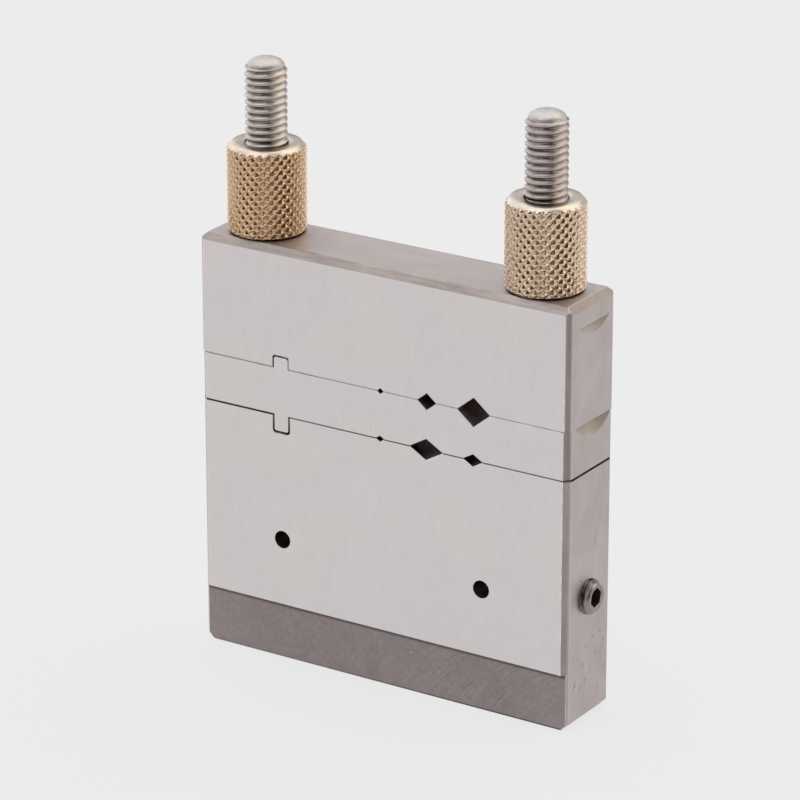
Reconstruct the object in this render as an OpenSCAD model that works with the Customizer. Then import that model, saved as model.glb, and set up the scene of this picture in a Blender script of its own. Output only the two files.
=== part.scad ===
// Miter cutting vise: three ground steel jaws stacked on two threaded studs and
// clamped by two knurled brass nuts. Straight V grooves cross the upper seam,
// 45 degree V grooves cross the lower seam. The origin is the centre of the foot,
// +X runs along the jaws, -Y is the front guide face and +Z is up.

/* [Jaws] */
// Width of the three jaws, end to end
jaw_w = 60; // [56:1:80]
// Depth of the three jaws, front guide face to back guide face
jaw_d = 12; // [11:0.5:18]
// Height of the base jaw
base_h = 37; // [35:0.5:60]
// Height of the middle jaw
middle_h = 7; // [6.5:0.5:12]
// Height of the top jaw
top_h = 17.5; // [13:0.5:30]

/* [Edges] */
// Bevel round the upper edges of the top jaw
rim_bevel = 0.95; // [0.3:0.05:1.3]
// Bevel on the upright corners of the base and middle jaws
corner_bevel = 0.9; // [0.65:0.05:1.3]
// Bevel on the upright corners of the top jaw
top_corner_bevel = 0.75; // [0.3:0.05:1.3]
// Bevel under each end of the foot
foot_bevel = 1.2; // [0.4:0.1:2]
// Break on the long edges of the foot
foot_break = 0.3; // [0.1:0.05:0.6]
// Break on the long edges where two jaws meet
seam_break = 0.1; // [0.05:0.05:0.3]
// Break on the end edges of the lower seam
end_break = 0.18; // [0.05:0.01:0.4]

/* [Clamping band] */
// Height of the band that a bench vise grips
band_h = 8.5; // [5:0.5:13]
// Depth of the band below each guide face
band_recess = 0.6; // [0.2:0.1:1]

/* [V grooves] */
// Angle between the two walls of every groove
groove_angle = 102; // [80:1:120]
// Distance between the centres of neighbouring grooves on the front face
groove_pitch = 7.5; // [6.5:0.1:9]
// Width of the small groove
groove_small = 1; // [0.6:0.1:2]
// Width of the medium straight groove
straight_medium = 3; // [2:0.1:3.6]
// Width of the large straight groove
straight_large = 5.2; // [4:0.1:5.6]
// Width of the large miter groove, square to its length
miter_large = 3.8; // [3:0.1:4.2]
// Width of the medium miter groove, square to its length
miter_medium = 2.2; // [1.4:0.1:2.8]
// Angle in plan between a miter groove and a straight one
miter_angle = 45; // [30:1:50]

/* [Tongues and slots] */
// Distance from the left end of the jaws to the middle of the tongues
tongue_inset = 13.6; // [12.8:0.1:14.5]
// Width of both tongues
tongue_w = 2.3; // [1.5:0.1:3]
// Height of the tongue that stands in the top jaw
tongue_up = 1.6; // [1:0.1:3]
// Depth of the tongue that hangs in the base jaw
tongue_down = 2.35; // [1:0.05:4]
// Bevel on the tip of each tongue
tongue_bevel = 0.2; // [0.1:0.05:0.4]
// Clearance on each side of a tongue in its slot
slot_side = 0.1; // [0.05:0.01:0.2]
// Clearance between the tip of a tongue and its slot
slot_end = 0.15; // [0.05:0.01:0.4]

/* [Studs] */
// Distance from each end of the jaws to the axis of its stud
stud_inset = 7.5; // [6:0.25:8.25]
// Outside diameter of the stud thread
stud_d = 5.9; // [5:0.1:6.6]
// Length of stud held in the base jaw
stud_hold = 12; // [8:0.5:13]
// Length of thread left free above the nut
stud_free = 11; // [6:0.5:20]
// Height of the domed tip of a stud
dome_h = 1.2; // [0.6:0.1:1.8]
// Depth of the stud thread, which sets the width of the domed tip
thread_depth = 0.5; // [0.3:0.05:0.8]
// Clearance all round a stud in the jaws that slide on it
guide_clearance = 0.1; // [0.05:0.01:0.2]
// Clearance all round a stud in its hole in the base jaw
thread_fit = 0.02; // [0.01:0.01:0.05]

/* [Knurled nuts] */
// Diameter over the knurl
nut_d = 11.1; // [9.6:0.1:12]
// Height of a nut
nut_h = 12.8; // [8:0.1:18]
// Bevel on the two rims of a nut
nut_bevel = 0.7; // [0.2:0.05:0.9]
// Countersink at each end of the nut's bore
nut_countersink = 0.4; // [0.2:0.05:0.8]
// Clearance all round a stud in its nut
nut_clearance = 0.05; // [0.02:0.01:0.1]

/* [Stop rod holes and set screws] */
// Distance from each end of the base jaw to the axis of its stop rod hole
stop_inset = 13.6; // [13:0.1:14.5]
// Diameter of a stop rod hole
stop_d = 2.6; // [2:0.1:3.2]
// Height of the stop rod holes and set screws above the foot
stop_z = 18.4; // [14:0.1:19]
// Outside diameter of a set screw
screw_d = 4.9; // [4:0.1:5.2]
// Length of a set screw
screw_l = 11; // [7:0.5:11.5]
// Length of set screw that stands out of the end of the base jaw
screw_out = 1.2; // [0.5:0.1:2]
// Width across the flats of the hexagon socket
socket_flats = 2.5; // [2:0.1:2.6]
// Depth of the hexagon socket
socket_depth = 2.5; // [1.5:0.1:3.5]
// Turn of the hexagon socket about the screw, from a corner at the top
socket_turn = 13; // [-30:1:30]
// Bevel on the outer end of a set screw
screw_bevel = 0.55; // [0.2:0.05:0.7]
// Length of the cone point of a set screw
point_l = 1.4; // [0.8:0.1:1.8]
// Width of the flat on the cone point
point_flat = 1.4; // [0.8:0.1:1.8]
// Clearance all round a set screw in its hole
screw_clearance = 0.05; // [0.02:0.01:0.1]
// Radius of the opening where the drilled hole of a set screw breaks into the stop rod hole
break_in_r = 1.1; // [0.9:0.05:1.15]

/* [Lifting notches] */
// Radius of the cutter that makes the notches
notch_radius = 12.3; // [9:0.1:16]
// Lean of the cutter from upright
notch_lean = 25; // [18:1:35]
// Height of the notch in the top jaw
notch_rise_top = 1.5; // [0.8:0.1:2.2]
// Height of the notch in the middle jaw
notch_rise_middle = 2.1; // [1:0.1:2.6]
// Distance from the top of the top jaw down to the upper edge of its notch
notch_drop = 3.4; // [2:0.1:6]
// Offset of both notches from the middle of the end face, towards the back
notch_y = 0.35; // [0:0.05:0.8]

/* [Hidden] */
$fn = 96;
reach = 1;
half_w = jaw_w / 2;
half_d = jaw_d / 2;
stud_x = half_w - stud_inset;
stop_x = half_w - stop_inset;
tongue_x = half_w - tongue_inset;
low_seam_z = base_h;
high_seam_z = base_h + middle_h;
top_z = high_seam_z + top_h;
nut_top_z = top_z + nut_h;
stud_foot_z = base_h - stud_hold;
stud_shoulder_z = nut_top_z + stud_free;
stud_tip_z = stud_shoulder_z + dome_h;
dome_r = stud_d / 2 - thread_depth;
dome_sphere_r = (dome_r * dome_r + dome_h * dome_h) / (2 * dome_h);
drill_angle = 118;
drill_slope = 1 / tan(drill_angle / 2);
drill_point = dome_r * drill_slope;
guide_r = stud_d / 2 + guide_clearance;
hole_bevel = 0.3;
groove_reach = 2 * (jaw_d / cos(miter_angle) + straight_large);
screw_hole_r = screw_d / 2 + screw_clearance;
drill_tip = stop_x + stop_d / 2 - break_in_r * drill_slope;
screw_inner = half_w + screw_out - screw_l;
socket_r = socket_flats / 2 / cos(30);
steel = [0.73, 0.72, 0.71];
stud_steel = [0.62, 0.60, 0.57];
screw_steel = [0.30, 0.29, 0.28];
brass = [0.70, 0.57, 0.42];

// Outline of a jaw seen from above, with its four upright corners cut off
module jaw_plan(bevel) {
    x = half_w;
    y = half_d;
    polygon([
        [-x + bevel, -y], [x - bevel, -y], [x, -y + bevel], [x, y - bevel],
        [x - bevel, y], [-x + bevel, y], [-x, y - bevel], [-x, -y + bevel]
    ]);
}

// Outline of a jaw seen from the front: low and high are the bevels of its end edges
module front_outline(z0, z1, low, high) {
    polygon([
        [-half_w + low, z0], [half_w - low, z0], [half_w, z0 + low], [half_w, z1 - high],
        [half_w - high, z1], [-half_w + high, z1], [-half_w, z1 - high], [-half_w, z0 + low]
    ]);
}

// Outline of a jaw seen from the end: low and high are the bevels of its long edges
module side_outline(z0, z1, low, high) {
    polygon([
        [-half_d + low, z0], [half_d - low, z0], [half_d, z0 + low], [half_d, z1 - high],
        [half_d - high, z1], [-half_d + high, z1], [-half_d, z1 - high], [-half_d, z0 + low]
    ]);
}

// Outline of the base jaw seen from the end, which steps in at the clamping band
module base_side_outline() {
    band = half_d - band_recess;
    polygon([
        [-band + foot_break, 0], [band - foot_break, 0], [band, foot_break], [band, band_h],
        [half_d, band_h], [half_d, base_h - seam_break], [half_d - seam_break, base_h],
        [-half_d + seam_break, base_h], [-half_d, base_h - seam_break], [-half_d, band_h],
        [-band, band_h], [-band, foot_break]
    ]);
}

// Runs an outline drawn in X and Z from the front face to the back face
module through_depth(length = jaw_d + 2 * reach) {
    rotate([90, 0, 0]) linear_extrude(length, center = true) children();
}

// Runs an outline drawn in Y and Z from the left end to the right end
module along_width() {
    rotate([90, 0, 90]) linear_extrude(jaw_w + 2 * reach, center = true) children();
}

// One V groove as a diamond bar that crosses a seam, entering the front face at x
module groove(x, z, width, turn) {
    half = width / 2;
    rise = half / tan(groove_angle / 2);
    translate([x, -half_d, z]) rotate([90, 0, turn])
        linear_extrude(groove_reach, center = true)
            polygon([[-half, 0], [0, -rise], [half, 0], [0, rise]]);
}

// Grooves square to the guide faces, across the upper seam
module straight_grooves() {
    groove(0, high_seam_z, groove_small, 0);
    groove(groove_pitch, high_seam_z, straight_medium, 0);
    groove(2 * groove_pitch, high_seam_z, straight_large, 0);
}

// Grooves at the miter angle, across the lower seam
module miter_grooves() {
    groove(0, low_seam_z, groove_small, miter_angle);
    groove(groove_pitch, low_seam_z, miter_large, miter_angle);
    groove(2 * groove_pitch, low_seam_z, miter_medium, miter_angle);
}

// Outline of a tongue that grows from a seam: up is 1 for upwards and -1 for downwards
module tongue_outline(z, height, up) {
    half = tongue_w / 2;
    root = z - up * reach;
    tip = z + up * height;
    shoulder = tip - up * tongue_bevel;
    translate([-tongue_x, 0]) polygon([
        [-half, root], [-half, shoulder], [-half + tongue_bevel, tip],
        [half - tongue_bevel, tip], [half, shoulder], [half, root]
    ]);
}

// Slot that takes a tongue, with its mouth broken by the same amount as a seam edge
module slot_outline(z, height, up) {
    half = tongue_w / 2 + slot_side;
    bottom = z + up * (height + slot_end);
    mouth = half + seam_break;
    translate([-tongue_x, 0]) polygon([
        [-mouth, z - up * reach], [-mouth, z], [-half, z + up * seam_break], [-half, bottom],
        [half, bottom], [half, z + up * seam_break], [mouth, z], [mouth, z - up * reach]
    ]);
}

// Both guide holes of a jaw that slides on the studs, with broken rims
module guide_holes(z0, z1) {
    for (side = [-1, 1]) translate([side * stud_x, 0, 0]) {
        translate([0, 0, z0 - reach]) cylinder(r = guide_r, h = z1 - z0 + 2 * reach);
        translate([0, 0, z1 - hole_bevel])
            cylinder(r1 = guide_r, r2 = guide_r + 2 * hole_bevel, h = 2 * hole_bevel);
    }
}

// Lifting notch in the right end: a leaning cutter leaves an arc below a straight edge
module lifting_notch(edge_z, rise, open_top) {
    axis_x = half_w + notch_radius * cos(notch_lean);
    axis_z = edge_z - rise + notch_radius * sin(notch_lean);
    intersection() {
        translate([axis_x, notch_y, axis_z]) rotate([0, -notch_lean, 0])
            cylinder(r = notch_radius, h = 4 * notch_radius, center = true);
        translate([half_w - notch_radius, -jaw_d, edge_z - 2 * rise])
            cube([2 * notch_radius, 2 * jaw_d, 2 * rise + (open_top ? reach : 0)]);
    }
}

// Blind holes that hold the studs, ending in the point of the drill
module stud_sockets() {
    for (side = [-1, 1]) translate([side * stud_x, 0, 0]) {
        translate([0, 0, stud_foot_z]) cylinder(r = stud_d / 2 + thread_fit, h = stud_hold + reach);
        translate([0, 0, stud_foot_z - drill_point]) cylinder(r1 = 0, r2 = dome_r, h = drill_point);
    }
}

// Stop rod holes from front to back, each met by a set screw hole from its own end
module stop_holes() {
    for (side = [-1, 1]) {
        translate([side * stop_x, 0, stop_z]) rotate([90, 0, 0])
            cylinder(r = stop_d / 2, h = jaw_d + 2 * reach, center = true);
        translate([side * drill_tip, 0, stop_z]) rotate([0, side * 90, 0]) {
            cylinder(r1 = 0, r2 = screw_hole_r, h = screw_hole_r * drill_slope);
            translate([0, 0, screw_hole_r * drill_slope]) cylinder(r = screw_hole_r, h = half_w);
        }
    }
}

module base_jaw() {
    color(steel) difference() {
        intersection() {
            translate([0, 0, -reach]) linear_extrude(base_h + 2 * reach) jaw_plan(corner_bevel);
            through_depth() front_outline(0, base_h, foot_bevel, end_break);
            along_width() base_side_outline();
        }
        through_depth() slot_outline(low_seam_z, tongue_down, -1);
        miter_grooves();
        stud_sockets();
        stop_holes();
    }
}

module middle_jaw() {
    color(steel) difference() {
        union() {
            intersection() {
                translate([0, 0, low_seam_z - reach])
                    linear_extrude(middle_h + 2 * reach) jaw_plan(corner_bevel);
                through_depth() front_outline(low_seam_z, high_seam_z, end_break, seam_break);
                along_width() side_outline(low_seam_z, high_seam_z, seam_break, seam_break);
            }
            through_depth(jaw_d) tongue_outline(high_seam_z, tongue_up, 1);
            through_depth(jaw_d) tongue_outline(low_seam_z, tongue_down, -1);
        }
        straight_grooves();
        miter_grooves();
        guide_holes(low_seam_z, high_seam_z);
        lifting_notch(high_seam_z, notch_rise_middle, true);
    }
}

module top_jaw() {
    color(steel) difference() {
        intersection() {
            translate([0, 0, high_seam_z - reach])
                linear_extrude(top_h + 2 * reach) jaw_plan(top_corner_bevel);
            through_depth() front_outline(high_seam_z, top_z, seam_break, rim_bevel);
            along_width() side_outline(high_seam_z, top_z, seam_break, rim_bevel);
        }
        through_depth() slot_outline(high_seam_z, tongue_up, 1);
        straight_grooves();
        guide_holes(high_seam_z, top_z);
        lifting_notch(top_z - notch_drop, notch_rise_top, false);
    }
}

// Threaded stud with a domed tip, standing on the shoulder of its blind hole
module stud(side) {
    color(stud_steel) translate([side * stud_x, 0, 0]) {
        translate([0, 0, stud_foot_z])
            cylinder(r = stud_d / 2, h = stud_shoulder_z - thread_depth - stud_foot_z);
        translate([0, 0, stud_shoulder_z - thread_depth])
            cylinder(r1 = stud_d / 2, r2 = dome_r, h = thread_depth);
        intersection() {
            translate([0, 0, stud_tip_z - dome_sphere_r]) sphere(r = dome_sphere_r);
            translate([0, 0, stud_shoulder_z]) cylinder(r = stud_d, h = dome_h + reach);
        }
    }
}

// Knurled clamping nut: a bevelled cylinder with a countersunk bore
module knurled_nut(side) {
    bore = stud_d / 2 + nut_clearance;
    outside = nut_d / 2;
    color(brass) translate([side * stud_x, 0, top_z]) rotate_extrude() polygon([
        [bore + nut_countersink, 0], [outside - nut_bevel, 0], [outside, nut_bevel],
        [outside, nut_h - nut_bevel], [outside - nut_bevel, nut_h],
        [bore + nut_countersink, nut_h], [bore, nut_h - nut_countersink], [bore, nut_countersink]
    ]);
}

// Set screw with a hexagon socket and a cone point that pinches the stop rod
module set_screw(side) {
    r = screw_d / 2;
    color(screw_steel) translate([side * screw_inner, 0, stop_z]) rotate([0, side * 90, 0])
        difference() {
            rotate_extrude() polygon([
                [0, 0], [point_flat / 2, 0], [r, point_l],
                [r, screw_l - screw_bevel], [r - screw_bevel, screw_l], [0, screw_l]
            ]);
            translate([0, 0, screw_l - socket_depth])
                rotate(-socket_turn) cylinder(r = socket_r, h = socket_depth + reach, $fn = 6);
        }
}

base_jaw();
middle_jaw();
top_jaw();
stud(-1);  // stud_left
stud(1);  // stud_right
knurled_nut(-1);  // knurled_nut_left
knurled_nut(1);  // knurled_nut_right
set_screw(-1);  // set_screw_left
set_screw(1);  // set_screw_right
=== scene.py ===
"""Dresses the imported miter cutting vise: ground jaws, threaded studs, knurled nuts, set screws, studio."""
import math

import bmesh
import bpy
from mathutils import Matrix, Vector


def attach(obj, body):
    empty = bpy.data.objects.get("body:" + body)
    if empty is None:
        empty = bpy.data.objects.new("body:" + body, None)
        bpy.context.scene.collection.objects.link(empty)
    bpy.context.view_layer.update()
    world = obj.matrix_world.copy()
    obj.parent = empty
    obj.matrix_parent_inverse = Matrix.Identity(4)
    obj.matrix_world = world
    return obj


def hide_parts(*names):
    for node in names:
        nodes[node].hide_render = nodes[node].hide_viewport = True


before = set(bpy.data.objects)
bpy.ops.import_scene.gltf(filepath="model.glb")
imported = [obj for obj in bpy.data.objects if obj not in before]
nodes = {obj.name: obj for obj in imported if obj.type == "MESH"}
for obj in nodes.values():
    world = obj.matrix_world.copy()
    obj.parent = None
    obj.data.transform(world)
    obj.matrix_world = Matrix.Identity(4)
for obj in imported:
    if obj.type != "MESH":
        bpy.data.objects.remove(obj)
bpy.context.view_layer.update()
scene = bpy.context.scene

MM = 0.001
# Jaws: half width, half depth, the face and top of the clamping band, and the upper face of each jaw
HALF_W, HALF_D, BAND_Y, BAND_TOP = 30 * MM, 6 * MM, 5.4 * MM, 8.5 * MM
BASE_TOP, MIDDLE_TOP, TOP_TOP = 37 * MM, 44 * MM, 61.5 * MM
# Tongues: place along the jaws, half width, lower end of the one below and upper end of the one above
TONGUE_X, TONGUE_HALF_W, TONGUE_LOW, TONGUE_HIGH = -16.4 * MM, 1.3 * MM, 34.5 * MM, 45.75 * MM
# Centre and radius of the arcs that the fly cutter left on the clamping band
CUTTER_Z, CUTTER_R = -14 * MM, 26 * MM
# Studs: place either side of the middle, radius, thread pitch and depth, lower end, end of thread, tip, dome
STUD_X, STUD_R, PITCH, CUT = 22.5 * MM, 2.95 * MM, 1.0 * MM, 0.37 * MM
STUD_FOOT, STUD_SHOULDER, STUD_TIP, DOME_R = 25 * MM, 85.3 * MM, 86.5 * MM, 2.58 * MM
# Nuts: radius, lower face, height, bevels above and below, bore and its countersink
NUT_R, NUT_Z, NUT_H, NUT_BEVEL, NUT_FOOT = 5.55 * MM, TOP_TOP, 12.8 * MM, 0.7 * MM, 0.5 * MM
NUT_BORE, NUT_SINK = 3.0 * MM, 0.12 * MM
# Set screws: radius, thread, length, how far they stand out, height, cone point, bevel and hexagon socket
SCREW_R, SCREW_PITCH, SCREW_CUT, SCREW_L = 2.45 * MM, 0.8 * MM, 0.4 * MM, 11 * MM
SCREW_OUT, SCREW_Z, POINT_L, POINT_R, SCREW_BEVEL = 1.2 * MM, 18.4 * MM, 1.4 * MM, 0.7 * MM, 0.55 * MM
HEX_FLATS, HEX_DEPTH, HEX_BREAK, HEX_RIM = 2.5 * MM, 2.5 * MM, 0.12 * MM, 0.08 * MM
HEX_TURN = math.radians(-13)


# Materials
class Nodes:
    """Short names for building one material's node tree, with the place on the object as x, y and z."""

    def __init__(self, name):
        self.mat = bpy.data.materials.new(name)
        self.mat.use_nodes = True
        self.tree = self.mat.node_tree
        self.tree.nodes.clear()
        self.coord = self.tree.nodes.new("ShaderNodeTexCoord").outputs["Object"]
        split = self.tree.nodes.new("ShaderNodeSeparateXYZ")
        self.link(self.coord, split.inputs[0])
        self.x, self.y, self.z = split.outputs

    def link(self, a, b):
        self.tree.links.new(a, b)

    def put(self, socket, value):
        """Links another node's output to a socket, or sets a constant on it."""
        if isinstance(value, bpy.types.NodeSocket):
            self.link(value, socket)
        elif socket.type == "RGBA":
            socket.default_value = (*value, 1.0)
        else:
            socket.default_value = value

    def math(self, op, a, b=None):
        n = self.tree.nodes.new("ShaderNodeMath")
        n.operation = op
        self.put(n.inputs[0], a)
        if b is not None:
            self.put(n.inputs[1], b)
        return n.outputs[0]

    def plus(self, a, b):
        return self.math("ADD", a, b)

    def minus(self, a, b):
        return self.math("SUBTRACT", a, b)

    def times(self, a, b):
        return self.math("MULTIPLY", a, b)

    def over(self, a, b):
        return self.math("DIVIDE", a, b)

    def most(self, a, b):
        return self.math("MAXIMUM", a, b)

    def above(self, a, b):
        return self.math("GREATER_THAN", a, b)

    def below(self, a, b):
        return self.math("LESS_THAN", a, b)

    def size(self, a):
        return self.math("ABSOLUTE", a)

    def apart(self, a, place):
        """Distance from a place, along one axis."""
        return self.size(self.minus(a, place))

    def length(self, a, b):
        """Distance across two axes."""
        return self.math("SQRT", self.plus(self.times(a, a), self.times(b, b)))

    def combine(self, x, y, z):
        n = self.tree.nodes.new("ShaderNodeCombineXYZ")
        for socket, value in zip(n.inputs, (x, y, z)):
            self.put(socket, value)
        return n.outputs[0]

    def noise(self, vector, scale=1.0, detail=3.0, rough=0.5):
        n = self.tree.nodes.new("ShaderNodeTexNoise")
        self.link(vector, n.inputs["Vector"])
        n.inputs["Scale"].default_value = scale
        n.inputs["Detail"].default_value = detail
        n.inputs["Roughness"].default_value = rough
        return n.outputs["Fac"]

    def grain(self, x, y, z, detail=3.0, rough=0.5):
        """Noise with its own scale along each axis of the object."""
        n = self.tree.nodes.new("ShaderNodeMapping")
        self.link(self.coord, n.inputs["Vector"])
        n.inputs["Scale"].default_value = (x, y, z)
        return self.noise(n.outputs[0], 1.0, detail, rough)

    def remap(self, value, low, high, start=0.0, end=1.0, smooth=False):
        n = self.tree.nodes.new("ShaderNodeMapRange")
        n.interpolation_type = "SMOOTHSTEP" if smooth else "LINEAR"
        n.clamp = True
        self.put(n.inputs["Value"], value)
        for key, limit in zip(("From Min", "From Max", "To Min", "To Max"), (low, high, start, end)):
            n.inputs[key].default_value = limit
        return n.outputs["Result"]

    def mix(self, factor, a, b, blend="MIX"):
        n = self.tree.nodes.new("ShaderNodeMix")
        n.data_type = "RGBA"
        n.blend_type = blend
        self.put(n.inputs["Factor"], factor)
        first, second = [s for s in n.inputs if s.type == "RGBA"]
        self.put(first, a)
        self.put(second, b)
        return [s for s in n.outputs if s.type == "RGBA"][0]

    def fade(self, value, low, high, a, b, start=0.0, end=1.0):
        """Color a with a share of b that goes from start to end while the value goes from low to high."""
        return self.mix(self.remap(value, low, high, start, end), a, b)

    def bump(self, height, distance, strength):
        n = self.tree.nodes.new("ShaderNodeBump")
        n.inputs["Strength"].default_value = strength
        n.inputs["Distance"].default_value = distance
        self.link(height, n.inputs["Height"])
        return n.outputs["Normal"]

    def metal(self, color, roughness, normal=None):
        n = self.tree.nodes.new("ShaderNodeBsdfPrincipled")
        n.inputs["Metallic"].default_value = 1.0
        self.put(n.inputs["Base Color"], color)
        self.put(n.inputs["Roughness"], roughness)
        if normal is not None:
            self.link(normal, n.inputs["Normal"])
        out = self.tree.nodes.new("ShaderNodeOutputMaterial")
        self.link(n.outputs["BSDF"], out.inputs["Surface"])
        return self.mat


# Where the top jaw's rim turns from its long sides to its ends
RIM_SIDE, RIM_END = 28.85 * MM, 29.1 * MM
GROUND_COOL, GROUND_WARM, GROUND_DULL = (0.750, 0.707, 0.728), (0.755, 0.717, 0.698), (0.731, 0.690, 0.685)


def ground_steel():
    """Surface-ground guide faces: pale, with faint upright marks, and oil by the left seam and tongues."""
    m = Nodes("ground_steel")
    fine = m.grain(4200, 4200, 170, detail=4, rough=0.6)
    dabs = m.grain(1500, 1500, 330, detail=2)
    mottle = m.grain(520, 520, 260, rough=0.6)
    drift = m.grain(85, 85, 50, detail=2)
    warm = m.grain(60, 60, 95, detail=1)
    lines = m.plus(m.times(fine, 0.45), m.times(dabs, 0.55))
    tint = m.fade(warm, 0.35, 0.65, GROUND_COOL, GROUND_WARM)
    color = m.fade(drift, 0.3, 0.7, tint, GROUND_DULL, 0.0, 0.5)
    color = m.fade(lines, 0.32, 0.62, color, (0.60, 0.565, 0.555), 0.14, 0.0)
    color = m.fade(mottle, 0.35, 0.65, color, (0.585, 0.55, 0.55), 0.12, 0.0)
    color = m.fade(dabs, 0.66, 0.78, color, (0.52, 0.485, 0.485), 0.0, 0.4)
    color = m.fade(dabs, 0.24, 0.34, color, (0.80, 0.76, 0.75), 0.35, 0.0)
    film = m.remap(m.grain(500, 500, 500), 0.25, 0.5, 0.6, 1.0)
    color = m.mix(m.times(slot_oil(m), film), color, (0.05, 0.038, 0.037))
    return m.metal(color, m.remap(lines, 0.3, 0.7, 0.42, 0.36), m.bump(lines, 0.003 * MM, 0.5))


def round_corner(m, a, b, radius):
    """Distance from the outline of a rounded corner, from the distances to its two straight sides."""
    a, b = m.plus(a, radius), m.plus(b, radius)
    far = m.length(m.most(a, 0.0), m.most(b, 0.0))
    near = m.math("MINIMUM", m.most(a, b), 0.0)
    return m.apart(m.plus(far, near), radius)


def slot_oil(m):
    """How much oil stands by the lower left seam and round both tongues: 1 in a hair's breadth, then none."""
    side = m.minus(m.apart(m.x, TONGUE_X), TONGUE_HALF_W)
    lower = round_corner(m, side, m.minus(TONGUE_LOW, m.z), 0.45 * MM)
    lower = m.minus(lower, m.remap(m.z, TONGUE_LOW + 0.05 * MM, TONGUE_LOW + 0.4 * MM, 0.05 * MM, 0.0))
    lower = m.times(m.remap(lower, 0.1 * MM, 0.2 * MM, 1.0, 0.0), m.below(m.z, BASE_TOP + 0.05 * MM))
    upper = round_corner(m, side, m.minus(m.z, TONGUE_HIGH), 0.35 * MM)
    upper = m.times(m.remap(upper, 0.06 * MM, 0.16 * MM, 1.0, 0.0), m.above(m.z, MIDDLE_TOP - 0.05 * MM))
    upper = m.times(upper, m.remap(m.x, TONGUE_X + 0.2 * MM, TONGUE_X + 1.2 * MM, 0.9, 0.25))
    seam = m.remap(m.apart(m.z, BASE_TOP), 0.1 * MM, 0.21 * MM, 0.85, 0.0)
    seam = m.times(seam, m.below(m.x, TONGUE_X - 1.2 * MM))
    found = m.most(seam, m.most(lower, upper))
    return m.times(found, m.remap(m.size(m.y), 5.2 * MM, 5.95 * MM))


def marks(m, a, b, rows):
    """Oval marks on a flat face: 1 inside each. A row gives its place, half length, half width and lean."""
    found = None
    for place_a, place_b, long, wide, lean in rows:
        c, s = math.cos(math.radians(lean)), math.sin(math.radians(lean))
        da, db = m.minus(a, place_a * MM), m.minus(b, place_b * MM)
        u = m.over(m.plus(m.times(da, c), m.times(db, s)), long * MM)
        v = m.over(m.minus(m.times(db, c), m.times(da, s)), wide * MM)
        hit = m.remap(m.plus(m.times(u, u), m.times(v, v)), 0.25, 1.3, 1.0, 0.0, smooth=True)
        found = hit if found is None else m.most(found, hit)
    return found


BAND_NICKS = ((-0.45, 6.4, 0.5, 0.07, 25), (-0.2, 6.15, 0.3, 0.06, 70), (4.65, 6.0, 0.35, 0.08, 15),
              (9.2, 4.2, 0.25, 0.06, 60))


def milled_steel():
    """Fly-cut clamping band: dark and mottled, with faint arcs that the cutter left towards the right."""
    m = Nodes("milled_steel")
    reach = m.minus(m.z, CUTTER_Z)
    across = m.math("SQRT", m.most(m.minus(CUTTER_R ** 2, m.times(reach, reach)), 1e-8))
    arcs = m.noise(m.combine(m.plus(m.x, across), 0.0, m.times(m.z, 0.03)), scale=6400, detail=1)
    back = m.combine(m.minus(m.x, across), 0.013, m.times(m.z, 0.03))
    back = m.noise(back, scale=1700, detail=2, rough=0.6)
    patches = m.remap(m.grain(170, 170, 260, detail=2), 0.35, 0.6, 0.4, 1.0)
    shown = m.times(m.remap(m.x, -8 * MM, 12 * MM, 0.1, 0.8, smooth=True), patches)
    arcs = m.plus(0.5, m.times(m.minus(arcs, 0.5), shown))
    speck = m.grain(1700, 1700, 1700, detail=4, rough=0.7)
    mottle = m.grain(620, 620, 800, rough=0.6)
    cloud = m.grain(190, 190, 230, rough=0.6)
    lines = m.plus(m.times(arcs, 0.6), m.plus(m.times(back, 0.1), m.times(speck, 0.3)))
    color = m.fade(cloud, 0.3, 0.7, (0.244, 0.205, 0.202), (0.299, 0.26, 0.251))
    color = m.fade(m.size(m.x), 22 * MM, 29.5 * MM, color, (0.36, 0.306, 0.306), 0.0, 0.55)
    color = m.fade(mottle, 0.36, 0.62, color, (0.187, 0.154, 0.154), 0.3, 0.0)
    color = m.fade(lines, 0.4, 0.62, color, (0.40, 0.352, 0.339), 0.0, 0.7)
    color = m.mix(m.times(marks(m, m.x, m.z, BAND_NICKS), 0.5), color, (0.62, 0.57, 0.55))
    # Painted shadow under the step, where the ground face overhangs the band.
    color = m.fade(m.z, 7.72 * MM, 8.12 * MM, color, (0.05, 0.038, 0.038), 0.0, 0.72)
    # Painted contact shadow along the foot of the band, stronger towards the right.
    foot = m.times(m.remap(m.z, 0.3 * MM, 0.42 * MM, 1.0, 0.0), m.remap(m.x, -16 * MM, 14 * MM, 0.35, 0.93))
    color = m.mix(foot, color, (0.035, 0.026, 0.026))
    return m.metal(color, m.remap(lines, 0.3, 0.7, 0.55, 0.42), m.bump(lines, 0.009 * MM, 0.6))


END_NICKS = ((-3.6, 6.3, 0.62, 0.2, 62), (1.1, 12.0, 0.3, 0.14, 10), (3.9, 10.6, 0.55, 0.12, -50),
             (-1.5, 8.7, 0.5, 0.16, 75), (-0.7, 6.2, 0.4, 0.14, 60), (1.9, 9.4, 0.38, 0.12, 35),
             (3.0, 12.1, 0.3, 0.12, 0), (-2.4, 21.5, 0.2, 0.14, 0), (2.6, 29.0, 0.2, 0.1, 40))
END_SMUDGES = ((3.4, 9.6, 1.0, 0.5, 70), (0.6, 7.6, 1.1, 0.5, 55), (-2.0, 5.4, 0.9, 0.45, 65),
               (4.2, 6.4, 0.8, 0.4, 50), (-0.6, 11.2, 0.9, 0.35, 15), (2.4, 4.0, 0.9, 0.4, 75),
               (-4.0, 3.2, 0.7, 0.3, 60), (1.6, 26.5, 1.3, 0.6, 80))


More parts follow.
